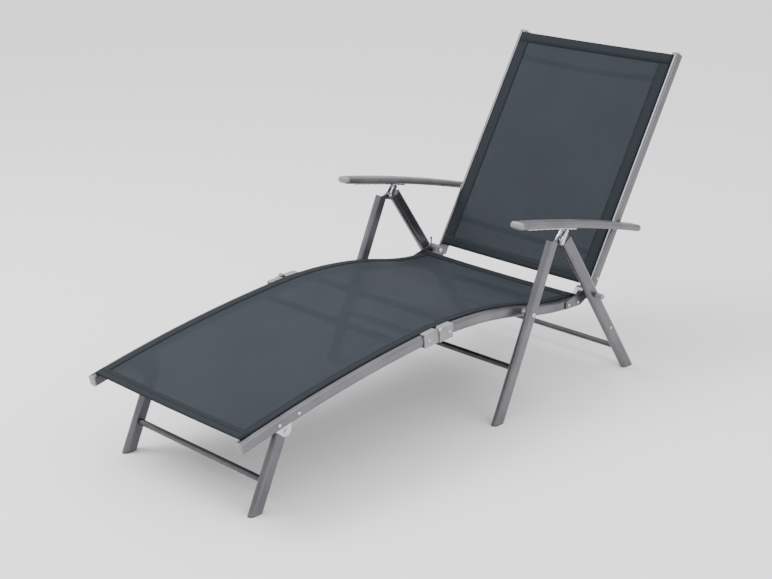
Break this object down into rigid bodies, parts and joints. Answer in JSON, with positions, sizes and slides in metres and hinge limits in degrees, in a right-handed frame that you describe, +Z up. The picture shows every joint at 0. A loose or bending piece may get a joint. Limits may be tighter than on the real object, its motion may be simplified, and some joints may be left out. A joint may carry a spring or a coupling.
{
  "type": "reclining sun lounger",
  "caption": "Folding aluminium sun lounger with a mesh fabric bed, reclining back, tilting armrests, fold-over legrest and folding legs.",
  "frame": {"origin": "on the floor at the centre of the overall footprint", "axes": "+Y from the foot end to the head end, +X to the sitter's left, +Z up"},
  "size_m": [0.692, 1.673, 0.8867],
  "materials": {
    "frame_aluminium": "satin",
    "crossbar_tube": "satin",
    "fabric": "matte",
    "dark_plastic": "matte",
    "armrest_caps": "matte",
    "frame_plastic": "matte",
    "steel_fixings": "satin"
  },
  "bodies": {
    "seat": {"seat_rail_left": "frame_aluminium", "seat_rail_right": "frame_aluminium", "seat_spreader_front": "crossbar_tube", "seat_spreader_rear": "crossbar_tube", "seat_fabric": "fabric", "knee_clip_seat_left": "frame_plastic", "knee_clip_seat_right": "frame_plastic", "knee_pivot_bolts": "steel_fixings", "seat_end_fittings": "frame_aluminium", "saddle_cheek_left": "frame_aluminium", "saddle_cheek_right": "frame_aluminium", "back_pivot_bolts": "steel_fixings", "seat_rivets": "steel_fixings", "seat_pivot_bolts": "steel_fixings", "seat_pivot_spacers": "frame_plastic"},
    "legrest": {"legrest_rail_left": "frame_aluminium", "legrest_rail_right": "frame_aluminium", "legrest_spreader_front": "crossbar_tube", "legrest_spreader_rear": "crossbar_tube", "legrest_fabric": "fabric", "legrest_end_caps": "frame_plastic", "knee_clip_legrest_left": "frame_plastic", "knee_clip_legrest_right": "frame_plastic", "foot_leg_brackets": "steel_fixings", "legrest_rivets": "steel_fixings"},
    "foot_legs": {"foot_leg_left": "frame_aluminium", "foot_leg_right": "frame_aluminium", "foot_leg_crossbar": "crossbar_tube", "foot_leg_shoes": "dark_plastic", "foot_leg_pivot_bolts": "steel_fixings"},
    "front_legs": {"front_leg_left": "frame_aluminium", "front_leg_right": "frame_aluminium", "front_leg_crossbar": "crossbar_tube", "front_leg_heads": "frame_aluminium", "front_leg_shoes": "dark_plastic"},
    "rear_legs": {"rear_leg_left": "frame_aluminium", "rear_leg_right": "frame_aluminium", "rear_leg_crossbar": "crossbar_tube", "rear_leg_heads": "frame_aluminium", "rear_leg_shoes": "dark_plastic", "rear_leg_rivets": "steel_fixings", "lock_brackets": "steel_fixings", "release_pins": "frame_plastic", "top_pivot_bolts": "steel_fixings"},
    "back": {"back_rail_left": "frame_aluminium", "back_rail_right": "frame_aluminium", "back_spreader_top": "crossbar_tube", "back_spreader_lower": "crossbar_tube", "back_fabric": "fabric", "back_top_caps": "frame_plastic", "back_end_fittings": "frame_aluminium", "back_rivets": "steel_fixings", "armrest_pivot_bolts": "steel_fixings"},
    "armrest_left": {"armrest_left": "dark_plastic", "armrest_rack_left": "steel_fixings", "armrest_caps_left": "armrest_caps"},
    "armrest_right": {"armrest_right": "dark_plastic", "armrest_rack_right": "steel_fixings", "armrest_caps_right": "armrest_caps"}
  },
  "joints": [
    {"name": "back_recline", "type": "hinge", "parent": "seat", "child": "back", "pos_m": [0, 0.4285, 0.264], "axis": [-1, 0, 0], "range_deg": [0, 58]},
    {"name": "armrest_left_tilt", "type": "hinge", "parent": "back", "child": "armrest_left", "pos_m": [0.315, 0.56166, 0.43167], "axis": [1, 0, 0], "range_deg": [0, 36]},
    {"name": "armrest_right_tilt", "type": "hinge", "parent": "back", "child": "armrest_right", "pos_m": [-0.315, 0.56166, 0.43167], "axis": [1, 0, 0], "range_deg": [0, 36]},
    {"name": "leg_fold", "type": "hinge", "parent": "seat", "child": "front_legs", "pos_m": [0, 0.1475, 0.27839], "axis": [-1, 0, 0], "range_deg": [0, 62]},
    {"name": "rear_leg_fold", "type": "hinge", "parent": "front_legs", "child": "rear_legs", "pos_m": [0, 0.2605, 0.456], "axis": [-1, 0, 0], "range_deg": [0, 58]},
    {"name": "legrest_fold", "type": "hinge", "parent": "seat", "child": "legrest", "pos_m": [0, -0.1895, 0.321], "axis": [-1, 0, 0], "range_deg": [0, 160]},
    {"name": "foot_leg_fold", "type": "hinge", "parent": "legrest", "child": "foot_legs", "pos_m": [0, -0.6745, 0.189], "axis": [1, 0, 0], "range_deg": [0, 125]}
  ],
  "couplings": [
    {"joint": "armrest_left_tilt", "follows": "back_recline", "ratio": 0.585},
    {"joint": "armrest_right_tilt", "follows": "back_recline", "ratio": 0.585},
    {"joint": "rear_leg_fold", "follows": "leg_fold", "ratio": 0.92}
  ]
}
